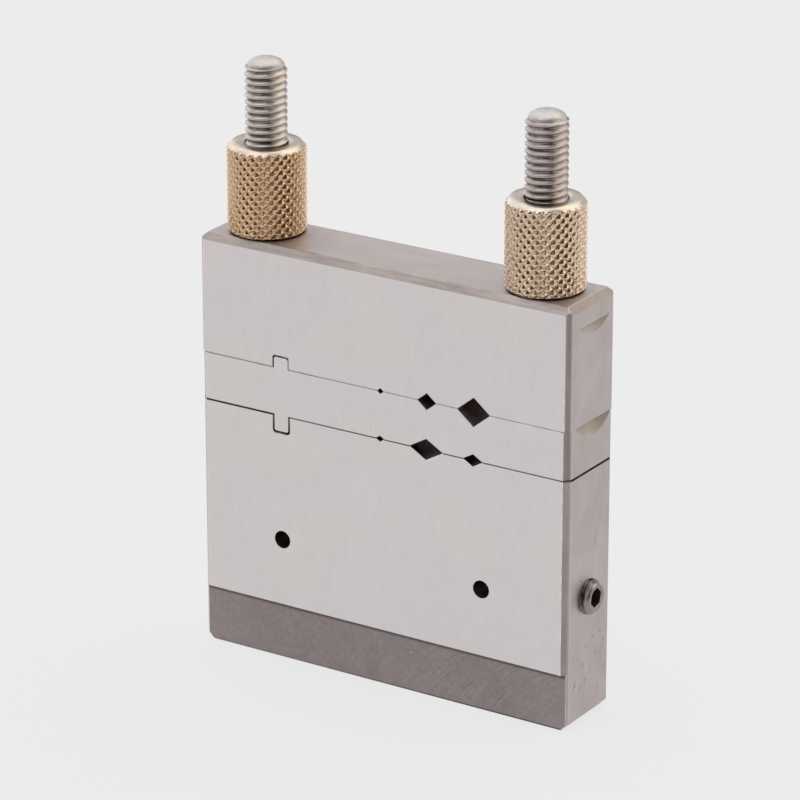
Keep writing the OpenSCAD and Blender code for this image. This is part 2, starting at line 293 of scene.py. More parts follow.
def drag_mark(m):
    """Curved mark that a chip dragged across the right end of the top jaw, broken up and paler higher up."""
    along = m.plus(m.y, 4.18 * MM)
    bend = m.plus(m.times(along, 0.95), m.times(m.times(along, along), 23.5))
    line = m.remap(m.apart(m.z, m.plus(45.45 * MM, bend)), 0.05 * MM, 0.32 * MM, 0.42, 0.0, smooth=True)
    broken = m.times(m.remap(m.grain(300, 300, 620, detail=2), 0.4, 0.58, 0.25, 1.0),
                     m.remap(m.z, 49.5 * MM, 52 * MM, 1.0, 0.45, smooth=True))
    return m.times(m.times(line, broken), m.times(m.above(m.x, 0.0), m.above(m.z, 45.3 * MM)))


def end_steel():
    """Sawn and ground ends: greyer, cloudy, with a drag mark on the top jaw and nicks near the foot."""
    m = Nodes("end_steel")
    fine = m.grain(3600, 3600, 240, detail=4, rough=0.6)
    cloud = m.grain(230, 230, 150, rough=0.6)
    blush = m.remap(m.grain(130, 130, 90, detail=2), 0.4, 0.62, 0.0, 0.6)
    color = m.fade(cloud, 0.3, 0.7, (0.455, 0.402, 0.39), (0.515, 0.468, 0.458))
    color = m.mix(m.times(blush, m.remap(m.z, 10 * MM, 20 * MM, 1.0, 0.2)), color, (0.43, 0.362, 0.352))
    color = m.fade(fine, 0.35, 0.7, color, (0.60, 0.55, 0.54), 0.0, 0.3)
    color = m.mix(drag_mark(m), color, (0.72, 0.67, 0.66))
    right = m.above(m.x, 0.0)
    smudges = m.times(marks(m, m.y, m.z, END_SMUDGES), right)
    color = m.mix(m.times(smudges, m.remap(fine, 0.3, 0.65, 0.5, 0.15)), color, (0.33, 0.275, 0.27))
    nicks = m.times(m.times(marks(m, m.y, m.z, END_NICKS), right), m.remap(fine, 0.3, 0.6, 0.45, 0.8))
    color = m.mix(nicks, color, (0.2, 0.165, 0.155))
    color = m.fade(m.apart(m.z, BASE_TOP), 0.08 * MM, 0.2 * MM, color, (0.05, 0.034, 0.036), 0.93, 0.0)
    height = m.minus(m.times(fine, 0.3), m.times(nicks, 2.0))
    return m.metal(color, m.remap(cloud, 0.3, 0.7, 0.46, 0.36), m.bump(height, 0.01 * MM, 0.5))


def top_steel():
    """Upper face of the top jaw: milled lengthwise, slightly dull, with swirls, and painted contact shadow
    round the nuts.
    """
    m = Nodes("top_steel")
    fine = m.grain(90, 3600, 3600, detail=4, rough=0.6)
    cloud = m.grain(120, 260, 220)
    near = m.length(m.minus(m.size(m.x), STUD_X), m.y)
    swirl = m.noise(m.combine(near, m.times(m.y, 0.08), 0.0), scale=1300)
    swirl = m.times(m.remap(swirl, 0.45, 0.65, 0.0, 0.35), m.remap(near, 6.2 * MM, 13 * MM, 1.0, 0.0))
    color = m.fade(cloud, 0.3, 0.7, (0.417, 0.365, 0.355), (0.475, 0.429, 0.42))
    color = m.fade(fine, 0.3, 0.7, color, (0.542, 0.494, 0.48), 0.0, 0.4)
    color = m.mix(swirl, color, (0.34, 0.295, 0.29))
    # Painted contact shadow in a ring round each nut, its edge broken up by the cloud.
    painted_contact_shadow = m.remap(m.plus(near, m.times(cloud, 0.5 * MM)), 5.45 * MM, 5.7 * MM, 0.7, 0.0, smooth=True)
    return m.metal(m.mix(painted_contact_shadow, color, (0.11, 0.07, 0.058)), 0.46, m.bump(fine, 0.004 * MM, 0.5))


def rim_steel():
    """Milled bevel round the top jaw, browner than the faces beside it, with stains along its length."""
    m = Nodes("rim_steel")
    fine = m.grain(240, 2600, 2600, detail=4, rough=0.6)
    stain = m.grain(150, 300, 300, rough=0.6)
    olive = m.grain(62, 120, 120, detail=1)
    side = m.fade(stain, 0.3, 0.68, (0.235, 0.193, 0.172), (0.355, 0.305, 0.277))
    side = m.fade(olive, 0.42, 0.6, side, (0.375, 0.33, 0.262), 0.0, 0.7)
    side = m.fade(fine, 0.35, 0.7, side, (0.44, 0.392, 0.364), 0.0, 0.5)
    end = m.fade(stain, 0.3, 0.7, (0.305, 0.247, 0.228), (0.375, 0.318, 0.298))
    color = m.fade(m.size(m.x), RIM_SIDE, RIM_END, side, end)
    return m.metal(color, 0.42, m.bump(fine, 0.005 * MM, 0.5))


def soft_steel():
    """Edges of the rim, rounded and dulled by handling."""
    m = Nodes("soft_edge_steel")
    wear = m.grain(300, 600, 600)
    side = m.fade(wear, 0.35, 0.65, (0.30, 0.26, 0.235), (0.47, 0.42, 0.385))
    end = m.mix(wear, (0.40, 0.345, 0.325), (0.48, 0.42, 0.395))
    return m.metal(m.fade(m.x, RIM_SIDE, RIM_END, side, end), 0.5, m.bump(wear, 0.006 * MM, 0.4))


def bevel_steel():
    """Milled upright bevels: dark on the top jaw, greyer below and on the left, with short cross marks."""
    m = Nodes("bevel_steel")
    cross = m.grain(1900, 1900, 240, rough=0.6)
    cloud = m.grain(300, 300, 120)
    base = m.fade(cloud, 0.3, 0.7, (0.306, 0.26, 0.248), (0.385, 0.34, 0.326))
    upper = m.fade(cloud, 0.3, 0.7, (0.234, 0.186, 0.188), (0.315, 0.268, 0.263))
    upper = m.fade(m.z, MIDDLE_TOP + 0.1 * MM, MIDDLE_TOP + 0.6 * MM, upper, (0.42, 0.36, 0.365), 0.0, 0.25)
    color = m.fade(m.z, BASE_TOP - 0.1 * MM, BASE_TOP + 0.1 * MM, base, upper)
    inner = m.remap(m.size(m.x), 29.35 * MM, 29.8 * MM, 0.0, 0.45)
    color = m.mix(m.times(inner, m.above(m.z, BASE_TOP)), color, (0.15, 0.118, 0.118))
    color = m.fade(cross, 0.4, 0.7, color, (0.44, 0.395, 0.385), 0.0, 0.3)
    # Painted highlight: a soft pale line along the bevel's edge with the end face.
    color = m.fade(m.size(m.x), 29.68 * MM, 29.95 * MM, color, (0.58, 0.53, 0.52), 0.0, 0.55)
    color = m.mix(m.below(m.x, 0.0), color, (0.56, 0.50, 0.50))
    color = m.fade(m.apart(m.z, BASE_TOP), 0.1 * MM, 0.22 * MM, color, (0.05, 0.037, 0.038), 0.88, 0.0)
    return m.metal(color, 0.42, m.bump(cross, 0.005 * MM, 0.5))


def edge_steel():
    """Edges worn bright by use and made paler still as painted highlight, less so at the right end."""
    m = Nodes("edge_steel")
    color = m.fade(m.grain(900, 900, 900), 0.35, 0.65, (0.68, 0.64, 0.63), (0.88, 0.84, 0.82))
    return m.metal(m.fade(m.x, 29.2 * MM, 29.5 * MM, color, (0.42, 0.365, 0.36), 0.0, 0.62), 0.4)


def notch_steel():
    """Lifting notches: milled, stained olive brown."""
    m = Nodes("notch_steel")
    sweep = m.grain(500, 1800, 500)
    color = m.fade(sweep, 0.3, 0.7, (0.275, 0.226, 0.192), (0.35, 0.30, 0.255))
    color = m.fade(m.x, 28.9 * MM, 29.95 * MM, color, (0.45, 0.395, 0.36), 0.0, 0.6)
    color = m.fade(m.y, -1 * MM, 4.5 * MM, color, (0.2, 0.16, 0.135), 0.0, 0.6)
    return m.metal(color, 0.48, m.bump(sweep, 0.005 * MM, 0.5))


def seam_steel():
    """Broken edges of the seams: the lower holds oil left of its tongue and at the ends, the upper none."""
    m = Nodes("seam_steel")
    clean = m.times(m.remap(m.x, -18.5 * MM, -15 * MM), m.remap(m.size(m.x), 28.7 * MM, 29.0 * MM, 1.0, 0.0))
    dust = m.grain(420, 420, 900, rough=0.6)
    low = m.mix(clean, (0.012, 0.009, 0.009), (0.24, 0.215, 0.21))
    high = m.fade(m.x, -20 * MM, 24 * MM, (0.45, 0.425, 0.425), (0.62, 0.585, 0.58))
    high = m.fade(m.x, 28.7 * MM, 29.0 * MM, high, (0.40, 0.35, 0.34), 0.0, 0.7)
    color = m.fade(m.z, 40 * MM, 41 * MM, low, high)
    color = m.fade(dust, 0.4, 0.65, color, (0.08, 0.068, 0.066), 0.0, 0.3)
    return m.metal(color, 0.45, m.bump(dust, 0.004 * MM, 0.4))


def groove_steel():
    """Walls of grooves, slots and holes: dark brown with painted shade, greyer with painted light near the
    guide faces at right.
    """
    m = Nodes("groove_steel")
    run = m.grain(700, 160, 2600)
    # Painted shade deep in the walls, and painted light where they open onto the guide faces.
    deep = m.fade(run, 0.3, 0.7, (0.17, 0.115, 0.105), (0.27, 0.205, 0.185))
    mouth = m.fade(run, 0.3, 0.7, (0.45, 0.38, 0.36), (0.62, 0.55, 0.53))
    painted_light_near_mouth = m.remap(m.size(m.y), 3.6 * MM, HALF_D, smooth=True)
    painted_light_near_mouth = m.times(painted_light_near_mouth, m.remap(m.z, 41 * MM, 43 * MM, 0.25, 1.0))
    painted_light_near_mouth = m.times(painted_light_near_mouth, m.remap(m.x, 0.5 * MM, 2.5 * MM))
    rough = m.remap(run, 0.3, 0.7, 0.5, 0.4)
    return m.metal(m.mix(painted_light_near_mouth, deep, mouth), rough, m.bump(run, 0.006 * MM, 0.4))


def stud_steel(name, cx, shade):
    """Rolled stainless thread, darker in the roots from grime and painted shade, and lighter with a painted
    sheen on the side towards the notches.
    """
    m = Nodes(name)
    dx = m.minus(m.x, cx)
    radius = m.length(dx, m.y)
    fine = m.grain(900, 900, 2600)
    stain = m.grain(500, 500, 700, rough=0.65)
    # Roots darkened partly as grime and partly as painted shade.
    root = m.fade(stain, 0.42, 0.6, (0.11, 0.09, 0.088), (0.37, 0.33, 0.32))
    flank = m.mix(stain, (0.34, 0.302, 0.287), (0.42, 0.385, 0.365))
    flank = m.fade(radius, 2.8 * MM, 2.94 * MM, flank, (0.53, 0.492, 0.467))
    color = m.fade(radius, 2.59 * MM, 2.7 * MM, root, flank)
    # Painted sheen: the side turned towards the notches is lightened as if reflecting a bright softbox.
    painted_sheen_side = m.over(m.plus(m.times(dx, 0.974), m.times(m.y, -0.225)), radius)
    color = m.fade(painted_sheen_side, 0.84, 0.93, color, (0.70, 0.64, 0.57), 0.0, 0.4)
    color = m.mix(1.0, color, shade, "MULTIPLY")
    return m.metal(color, m.remap(fine, 0.3, 0.7, 0.42, 0.3), m.bump(fine, 0.006 * MM, 0.4))


def tip_steel():
    """Turned domed tip of a stud."""
    m = Nodes("stud_tip")
    fine = m.grain(1600, 1600, 1600)
    color = m.fade(fine, 0.3, 0.7, (0.45, 0.42, 0.405), (0.555, 0.525, 0.505))
    return m.metal(color, 0.48, m.bump(fine, 0.004 * MM, 0.4))


def nut_brass(name, cx, low, high):
    """Knurled brass or bronze: bright on the points, brown in the grooves from grime and painted shade."""
    m = Nodes(name)
    radius = m.length(m.minus(m.x, cx), m.y)
    # Darker towards the groove bottoms: partly grime, partly painted shade.
    depth = m.remap(radius, NUT_R - 0.26 * MM, NUT_R - 0.07 * MM, smooth=True)
    stain = m.grain(420, 420, 420, rough=0.6)
    fine = m.grain(3000, 3000, 3000, detail=2)
    pale = m.mix(stain, high, tuple(min(1, v * 1.12) for v in high))
    rough = m.remap(fine, 0.3, 0.7, 0.22, 0.15)
    return m.metal(m.mix(depth, low, pale), rough, m.bump(fine, 0.002 * MM, 0.3))


def nut_turned(name, low, high, cx=None):
    """Turned surfaces of a nut. With cx, the place of its axis, a painted reflection of the stud darkens the
    face in front of its bore.
    """
    m = Nodes(name)
    fine = m.grain(1500, 1500, 1500)
    color = m.fade(fine, 0.3, 0.7, low, high)
    if cx is not None:
        dx = m.minus(m.x, cx)
        radius = m.length(dx, m.y)
        # Painted reflection of the stud: a dark crescent on the face in front of the bore.
        forward = m.over(m.minus(m.times(dx, 0.5), m.times(m.y, 0.87)), radius)
        film = m.times(m.remap(forward, 0.72, 0.95, 0.0, 0.7), m.remap(radius, 4.0 * MM, 4.5 * MM, 1.0, 0.0))
        color = m.mix(film, color, (0.2, 0.145, 0.09))
    return m.metal(color, 0.28, m.bump(fine, 0.003 * MM, 0.4))


def black_steel():
    """Oiled black oxide of the set screws, greyer on their faces and in worn patches."""
    m = Nodes("set_screw_black")
    fine = m.grain(1300, 1300, 1300)
    color = m.fade(m.size(m.x), 30.62 * MM, 30.78 * MM, (0.1, 0.08, 0.078), (0.27, 0.235, 0.22))
    color = m.fade(fine, 0.35, 0.7, color, (0.42, 0.385, 0.365), 0.0, 0.45)
    return m.metal(color, 0.36, m.bump(fine, 0.004 * MM, 0.4))


# Mesh tools
def piece(name, bm, materials, smooth_angle=35):
    """An object from a mesh in the making, smooth below the given angle between faces."""
    me = bpy.data.meshes.new(name)
    bm.normal_update()
    bm.to_mesh(me)
    bm.free()
    for copied in ("custom_normal", "sharp_edge", "sharp_face"):
        if copied in me.attributes:
            me.attributes.remove(me.attributes[copied])
    for mat in materials:
        me.materials.append(mat)
    ob = bpy.data.objects.new(name, me)
    scene.collection.objects.link(ob)
    me.shade_smooth()
    me.set_sharp_from_angle(angle=math.radians(smooth_angle))
    return ob


def circle(radius, i, around):
    """The point number i of a circle that has that many points."""
    a = 2 * math.pi * i / around
    return radius * math.cos(a), radius * math.sin(a)


def ring_on(bm, place, radius, z, around):
    return [bm.verts.new(place(*circle(radius, i, around), z)) for i in range(around)]


def bridge(bm, one, two, material=0):
    """Faces between two rings of equal count, the first of them lower on the outside."""
    for i in range(len(one)):
        k = (i + 1) % len(one)
        bm.faces.new((one[i], one[k], two[k], two[i])).material_index = material


# Place along one pitch, from the middle of a crest, and how deep the 60 degree thread is there
THREAD = ((0.09, 0.0), (0.13, 0.06), (0.36, 0.9), (0.42, 0.985), (0.5, 1.0), (0.58, 0.985), (0.64, 0.9),
          (0.87, 0.06), (0.91, 0.0))


def thread_drop(share):
    """Depth of the thread at a share of its pitch, as a share of its full depth."""
    for (p, d), (q, e) in zip(THREAD, THREAD[1:]):
        if p <= share <= q:
            return d + (e - d) * (share - p) / (q - p)
    return THREAD[-1][1]


def thread(bm, place, low, high, pitch, depth, envelope, crest, around):
    """A right-hand thread whose rows of faces follow its helix; gives its lowest and highest rings."""
    per = len(THREAD)
    first = crest - math.ceil((crest - low) / pitch + 2) * pitch
    rows = per * (int((high - first) / pitch) + 2)
    full = envelope(low + (high - low) / 2)
    made = {}

    def vert(i, n):
        if i == around:
            i, n = 0, n + per
        step, part = divmod(n, per)
        raw = first + (step + THREAD[part][0] + i / around) * pitch
        key = (i, n) if low < raw < high else (i, raw >= high)
        if key not in made:
            z = min(max(raw, low), high)
            drop = thread_drop(((z - first) / pitch - i / around) % 1.0)
            made[key] = bm.verts.new(place(*circle(min(envelope(z), full - depth * drop), i, around), z))
        return made[key]

    for i in range(around):
        for n in range(rows):
            loop = []
            for v in (vert(i, n), vert(i + 1, n), vert(i + 1, n + 1), vert(i, n + 1)):
                if v not in loop:
                    loop.append(v)
            if len(loop) > 2:
                bm.faces.new(loop)
    return [made[(i, False)] for i in range(around)], [made[(i, True)] for i in range(around)]


# Jaws
GROUND, BAND, END, TOP, BEVEL, EDGE, NOTCH, GROOVE, SEAM, RIM, SOFT = range(11)
# Slack for places, and the least cosine by which a face counts as square to an axis
NEAR, SQUARE = 0.02 * MM, 0.999
# Vertices this close are one, and faces that meet within this angle are one
SAME_PLACE, SAME_PLANE = 1e-7, math.radians(0.6)
WORN_EDGE, DULLED_EDGE, SLOT_CORNER = 0.08 * MM, 0.13 * MM, 0.34 * MM
SHARP_EDGE, SHORT_EDGE, SMALL_FACE = math.radians(25), 0.25 * MM, 0.02 * MM * MM


def slanted(share):
    """Whether a normal's share along an axis is that of a bevel at about 45 degrees."""
    return 0.6 < share < 0.8


def jaw_kind(n, c):
    """Which finish a face of a jaw has, from its normal and its middle."""
    ax, ay, az = abs(n.x), abs(n.y), abs(n.z)
    x, y = abs(c.x), abs(c.y)
    if ay > SQUARE and abs(y - HALF_D) < NEAR:
        return GROUND
    if ay > SQUARE and abs(y - BAND_Y) < NEAR and c.z < BAND_TOP:
        return BAND
    if ax > SQUARE and abs(x - HALF_W) < NEAR:
        return END
    if az > SQUARE and min(abs(c.z - BASE_TOP), abs(c.z - MIDDLE_TOP)) < NEAR:
        return GROUND
    if az > SQUARE and abs(c.z - TOP_TOP) < NEAR:
        return TOP
    if az > SQUARE and (c.z < NEAR or abs(c.z - BAND_TOP) < NEAR):
        return BAND
    if c.z > TOP_TOP - 1.2 * MM and az > 0.5 and (y > HALF_D - 1 * MM or x > HALF_W - 1 * MM):
        return RIM
    if az < 0.01 and slanted(ax) and slanted(ay) and x > HALF_W - 1.1 * MM and y > HALF_D - 1.1 * MM:
        return BEVEL
    if c.z < 1.3 * MM and az > 0.5:
        return BAND
    if slanted(az) and (y > HALF_D - 0.15 * MM or x > HALF_W - 0.3 * MM):
        return SEAM
    if c.x > HALF_W - 2.5 * MM and y < 5.2 * MM and c.z > 41 * MM and (ax > 0.5 or n.z < -0.9):
        return NOTCH
    return GROOVE


def slot_corner(e):
    """Corners of the tongues and of the mouths of their slots, which run from front to back."""
    a, b = e.verts[0].co, e.verts[1].co
    middle = (a + b) / 2
    low = TONGUE_LOW - 0.3 * MM < middle.z < BASE_TOP + NEAR
    high = MIDDLE_TOP - NEAR < middle.z < TONGUE_HIGH + 0.25 * MM
    return abs(a.y - b.y) > 5 * MM and abs(middle.x - TONGUE_X) < TONGUE_HALF_W + 0.1 * MM and (low or high)


def used_edges(bm):
    """Edges of a jaw that use has worn bright, and edges of its rim that handling has dulled."""
    worn, dulled = [], []
    for e in bm.edges:
        if len(e.link_faces) != 2 or e.calc_length() < SHORT_EDGE or e.calc_face_angle() < SHARP_EDGE:
            continue
        if any(f.calc_area() < SMALL_FACE for f in e.link_faces):
            continue
        kinds = {f.material_index for f in e.link_faces}
        middle = (e.verts[0].co + e.verts[1].co) / 2
        slot = abs(middle.x - TONGUE_X) < 1.5 * MM and 34 * MM < middle.z < 46 * MM
        foot = middle.z < 0.5 * MM
        seam = min(abs(middle.z - BASE_TOP), abs(middle.z - MIDDLE_TOP)) < 0.12 * MM
        if slot or foot or seam or SEAM in kinds or NOTCH in kinds:
            continue
        if RIM in kinds:
            dulled.append(e)
        elif GROUND in kinds or GROOVE not in kinds:
            worn.append(e)
    return worn, dulled


def corners_of(f):
    """The numbers of a face's vertices, to sort by."""
    return sorted(v.index for v in f.verts)


def faces_in_order(bm):
    """Sorts the faces, which the bevel of the worn edges leaves in an order that varies by run."""
    bm.verts.index_update()
    for i, f in enumerate(sorted(bm.faces, key=corners_of)):
        f.index = i
    bm.faces.sort()


def jaw(name, source, mats, body):
    """A jaw from its solid's faces, each with its finish, with worn edges."""
    bm = bmesh.new()
    bm.from_mesh(nodes[source].data)
    bmesh.ops.remove_doubles(bm, verts=bm.verts, dist=SAME_PLACE)
    bmesh.ops.dissolve_limit(bm, angle_limit=SAME_PLANE, verts=bm.verts, edges=bm.edges)
    bm.normal_update()
    for f in bm.faces:
        f.material_index = jaw_kind(f.normal, f.calc_center_median())
    corners = [e for e in bm.edges if len(e.link_faces) == 2 and e.is_convex and slot_corner(e)]
    bmesh.ops.bevel(bm, geom=corners, offset=SLOT_CORNER, segments=3, profile=0.5, affect="EDGES",
                    clamp_overlap=True, material=-1)
    bm.normal_update()
    worn, dulled = used_edges(bm)
    bmesh.ops.bevel(bm, geom=worn, offset=WORN_EDGE, segments=1, profile=0.5, affect="EDGES",
                    clamp_overlap=False, material=EDGE)
    dulled = [e for e in dulled if e.is_valid]
    bmesh.ops.bevel(bm, geom=dulled, offset=DULLED_EDGE, segments=2, profile=0.5, affect="EDGES",
                    clamp_overlap=False, material=SOFT)
    faces_in_order(bm)
    ob = piece(name, bm, mats, 30)
    for p in ob.data.polygons:
        p.use_smooth = p.material_index in (GROOVE, NOTCH)
    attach(ob, body)
    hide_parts(source)


jaw_mats = [ground_steel(), milled_steel(), end_steel(), top_steel(), bevel_steel(), edge_steel(),
            notch_steel(), groove_steel(), seam_steel(), rim_steel(), soft_steel()]
jaw("base_jaw_ground", "base_jaw", jaw_mats, "base")
jaw("middle_jaw_ground", "middle_jaw", jaw_mats, "middle_jaw")
jaw("top_jaw_ground", "top_jaw", jaw_mats, "top_jaw")


# Studs
STUD_AROUND, DOME_RINGS, DOME_STEP, THREAD_BREAK = 60, 9, 9.4, 0.22 * MM
# Height of one crest where it crosses +X, before each stud's own small offset
STUD_CREST = 80 * MM - 0.841 * PITCH


def stud_outline(z):
    """Radius of a stud: full thread, a short break, then a quarter ellipse up to the tip."""
    if z <= STUD_SHOULDER:
        return STUD_R - max(0.0, (STUD_R - DOME_R) * (1 - (STUD_SHOULDER - z) / THREAD_BREAK))
    return DOME_R * math.sqrt(max(0.0, 1 - ((z - STUD_SHOULDER) / (STUD_TIP - STUD_SHOULDER)) ** 2))


def stud(name, source, side, crest, mats):
    """Rolled M6 thread with a domed tip; crest is where a crest crosses +X above the axis."""
    bm = bmesh.new()

    def place(x, y, z):
        return (side * STUD_X + x, y, z)

    low, ring = thread(bm, place, STUD_FOOT, STUD_SHOULDER, PITCH, CUT, stud_outline, crest, STUD_AROUND)
    bm.faces.new(list(reversed(low)))
    for k in range(1, DOME_RINGS + 1):
        z = STUD_SHOULDER + (STUD_TIP - STUD_SHOULDER) * math.sin(math.radians(DOME_STEP * k))
        upper = ring_on(bm, place, stud_outline(z), z, STUD_AROUND)
        bridge(bm, ring, upper, 1)
        ring = upper
    bm.faces.new(ring).material_index = 1
    ob = piece(name, bm, mats, 32)
    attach(ob, "base")
    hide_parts(source)


stud("stud_thread_left", "stud_left", -1, STUD_CREST + 0.31 * MM,
     [stud_steel("stud_rolled_left", -STUD_X, (1.04, 1.0, 0.97)), tip_steel()])
stud("stud_thread_right", "stud_right", 1, STUD_CREST - 0.03 * MM,
     [stud_steel("stud_rolled_right", STUD_X, (0.90, 0.845, 0.83)), tip_steel()])


# Nuts
KNURL, TURNED, PAINTED_SHADE, NUT_EDGE = range(4)
KNURL_AROUND, KNURL_STEP = 330, 0.105 * MM
# Share of half its pitch at which a groove is at its deepest, height of the foot that is painted with
# the shade of the bore, and how deep the knurl's trace in the upper bevel may be for a face to count as
# turned
KNURL_FLOOR, NUT_SHADOW, KNURL_TRACE = 0.95, NUT_FOOT * 0.35, 0.12 * MM


def nut_outline(z):
    """Radius of a nut without its knurl."""
    return NUT_R - max(0.0, NUT_FOOT - z, NUT_BEVEL - (NUT_H - z))


def nut(name, source, side, families, body, mats):
    """Diamond knurl cut by two crossing sets of V grooves, between turned ends, on a plain bore.

    Each family of grooves has its count round the nut, its pitch along the axis, its phase, its hand, its
    depth and the share of its pitch that it leaves as land.
    """
    around = KNURL_AROUND
    bm = bmesh.new()

    def place(x, y, z):
        return (side * STUD_X + x, y, NUT_Z + z)

    def cut(i, z):
        deepest = 0.0
        for count, pitch, phase, way, deep, land in families:
            wave = abs(2 * ((count * i / around + way * z / pitch + phase) % 1.0) - 1)
            deepest = max(deepest, deep * min(1.0, max(0.0, (wave - land) / (KNURL_FLOOR - land))))
        return deepest

    steps = round((NUT_H - NUT_BEVEL) / KNURL_STEP)
    grid = [NUT_BEVEL * 0.5 + (NUT_H - NUT_BEVEL) * k / steps for k in range(steps + 1)]
    levels = [0.0, NUT_SHADOW] + grid + [NUT_H - NUT_BEVEL * 0.3, NUT_H]
    rings = [[bm.verts.new(place(*circle(min(nut_outline(z), NUT_R - cut(i, z)), i, around), z))
              for i in range(around)] for z in levels]
    for low, high, z0, z1 in zip(rings, rings[1:], levels, levels[1:]):
        turned = z0 > NUT_H - NUT_BEVEL - NEAR
        for i in range(around):
            k = (i + 1) % around
            a, b, c, d = low[i], low[k], high[k], high[i]
            rising = abs(cut(i, z0) - cut(i + 1, z1))
            falling = abs(cut(i + 1, z0) - cut(i, z1))
            for f in ((a, b, c), (a, c, d)) if rising < falling else ((a, b, d), (b, c, d)):
                face = bm.faces.new(f)
                reach = max(math.hypot(v.co.x - side * STUD_X, v.co.y) for v in f)
                whole = turned and reach > nut_outline((z0 + z1) / 2) - KNURL_TRACE
                # The lowest row of the foot, in the nut's own shadow, gets painted shade.
                face.material_index = NUT_EDGE if whole else PAINTED_SHADE if z1 <= NUT_SHADOW else KNURL
    throats = []
    # The ends' flat rings are turned; the countersinks and the bore are dark with painted shade.
    for end, z, up in ((rings[0], 0.0, False), (rings[-1], NUT_H, True)):
        inside = ring_on(bm, place, NUT_BORE + NUT_SINK, z, around)
        throat = ring_on(bm, place, NUT_BORE, z + (-NUT_SINK if up else NUT_SINK), around)
        for one, two, kind in ((end, inside, TURNED), (inside, throat, PAINTED_SHADE)):
            bridge(bm, *((one, two) if up else (two, one)), kind)
        throats.append(throat)
    bridge(bm, throats[1], throats[0], PAINTED_SHADE)
    ob = piece(name, bm, mats, 50)
    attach(ob, body)
    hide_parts(source)


nut("knurled_brass_left", "knurled_nut_left", -1,
    ((25, 1.47 * MM, 0.258, 1, 0.24 * MM, 0.33), (28, 1.34 * MM, 0.133, -1, 0.265 * MM, 0.24)), "nut_left",
    [nut_brass("bronze_knurl", -STUD_X, (0.56, 0.352, 0.2), (0.675, 0.48, 0.323)),
     nut_turned("bronze_turned", (0.50, 0.42, 0.35), (0.60, 0.52, 0.44), -STUD_X),
     nut_turned("bronze_painted_shade", (0.13, 0.09, 0.06), (0.2, 0.15, 0.1)),
     nut_turned("bronze_bevel", (0.55, 0.45, 0.345), (0.65, 0.55, 0.44))])
nut("knurled_brass_right", "knurled_nut_right", 1,
    ((26, 1.44 * MM, 0.4, 1, 0.24 * MM, 0.33), (28, 1.375 * MM, 0.828, -1, 0.265 * MM, 0.24)), "nut_right",
    [nut_brass("brass_knurl", STUD_X, (0.58, 0.424, 0.286), (0.695, 0.55, 0.43)),
     nut_turned("brass_turned", (0.54, 0.47, 0.41), (0.64, 0.57, 0.50), STUD_X),
     nut_turned("brass_painted_shade", (0.13, 0.095, 0.07), (0.2, 0.155, 0.12)),
     nut_turned("brass_bevel", (0.56, 0.475, 0.385), (0.66, 0.575, 0.48))])


# Set screws
SCREW_AROUND = 48


def screw_outline(z):
    """Radius of a set screw from the end of its cone point to its bevelled outer face."""
    if z < POINT_L:
        return POINT_R + (SCREW_R - POINT_R) * z / POINT_L
    return SCREW_R - max(0.0, SCREW_BEVEL - (SCREW_L - z))


def set_screw(name, source, side, body, mats):
    """Threaded set screw with a cone point and a hexagon socket, lying along X."""
    bm = bmesh.new()

    def place(x, y, z):
        return (side * (HALF_W + SCREW_OUT - SCREW_L + z), -side * x, SCREW_Z - y)

    def hexagon(z):
        row = []
        for i in range(SCREW_AROUND):
            a = 2 * math.pi * i / SCREW_AROUND
            off = (a - HEX_TURN + math.radians(30)) % math.radians(60) - math.radians(30)
            row.append(bm.verts.new(place(*circle(HEX_FLATS / 2 / math.cos(off), i, SCREW_AROUND), z)))
        return row

    low, ring = thread(bm, place, 0.0, SCREW_L, SCREW_PITCH, SCREW_CUT, screw_outline, 0.0, SCREW_AROUND)
    bm.faces.new(list(reversed(low)))
    corner = HEX_FLATS / 2 / math.cos(math.radians(30))
    mouth = ring_on(bm, place, corner + HEX_RIM, SCREW_L, SCREW_AROUND)
    rim = hexagon(SCREW_L - HEX_BREAK)
    floor_ring = hexagon(SCREW_L - HEX_DEPTH)
    bridge(bm, ring, mouth)
    bridge(bm, mouth, rim)
    bridge(bm, rim, floor_ring, 1)
    bm.faces.new(floor_ring).material_index = 1
    bmesh.ops.recalc_face_normals(bm, faces=bm.faces)
    ob = piece(name, bm, mats, 40)
    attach(ob, body)
    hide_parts(source)


screw_mats = [black_steel(), groove_steel()]
set_screw("set_screw_thread_right", "set_screw_right", 1, "set_screw_right", screw_mats)
set_screw("set_screw_thread_left", "set_screw_left", -1, "set_screw_left", screw_mats)


# Studio floor: its own colour for shadows and bounced light, and mostly an even glow where it is seen
FLOOR_R, FLOOR_COLOR, FLOOR_GLOW, GLOW_SHARE = 6.0, (0.80, 0.80, 0.80), (0.831, 0.831, 0.831), 0.91


def floor_white():
    m = Nodes("studio_floor")
    matte = m.tree.nodes.new("ShaderNodeBsdfDiffuse")
    m.put(matte.inputs["Color"], FLOOR_COLOR)
    glow = m.tree.nodes.new("ShaderNodeEmission")
    m.put(glow.inputs["Color"], FLOOR_GLOW)
    path = m.tree.nodes.new("ShaderNodeLightPath")
    seen = m.most(path.outputs["Is Camera Ray"], path.outputs["Is Glossy Ray"])
    seen = m.most(seen, path.outputs["Is Transmission Ray"])
    mixed = m.tree.nodes.new("ShaderNodeMixShader")
    m.link(m.times(seen, GLOW_SHARE), mixed.inputs[0])
    m.link(matte.outputs[0], mixed.inputs[1])
    m.link(glow.outputs[0], mixed.inputs[2])
    out = m.tree.nodes.new("ShaderNodeOutputMaterial")
    m.link(mixed.outputs[0], out.inputs["Surface"])
    return m.mat


floor_bm = bmesh.new()
bmesh.ops.create_circle(floor_bm, cap_ends=True, segments=96, radius=FLOOR_R)
floor = piece("studio_floor", floor_bm, [floor_white()])


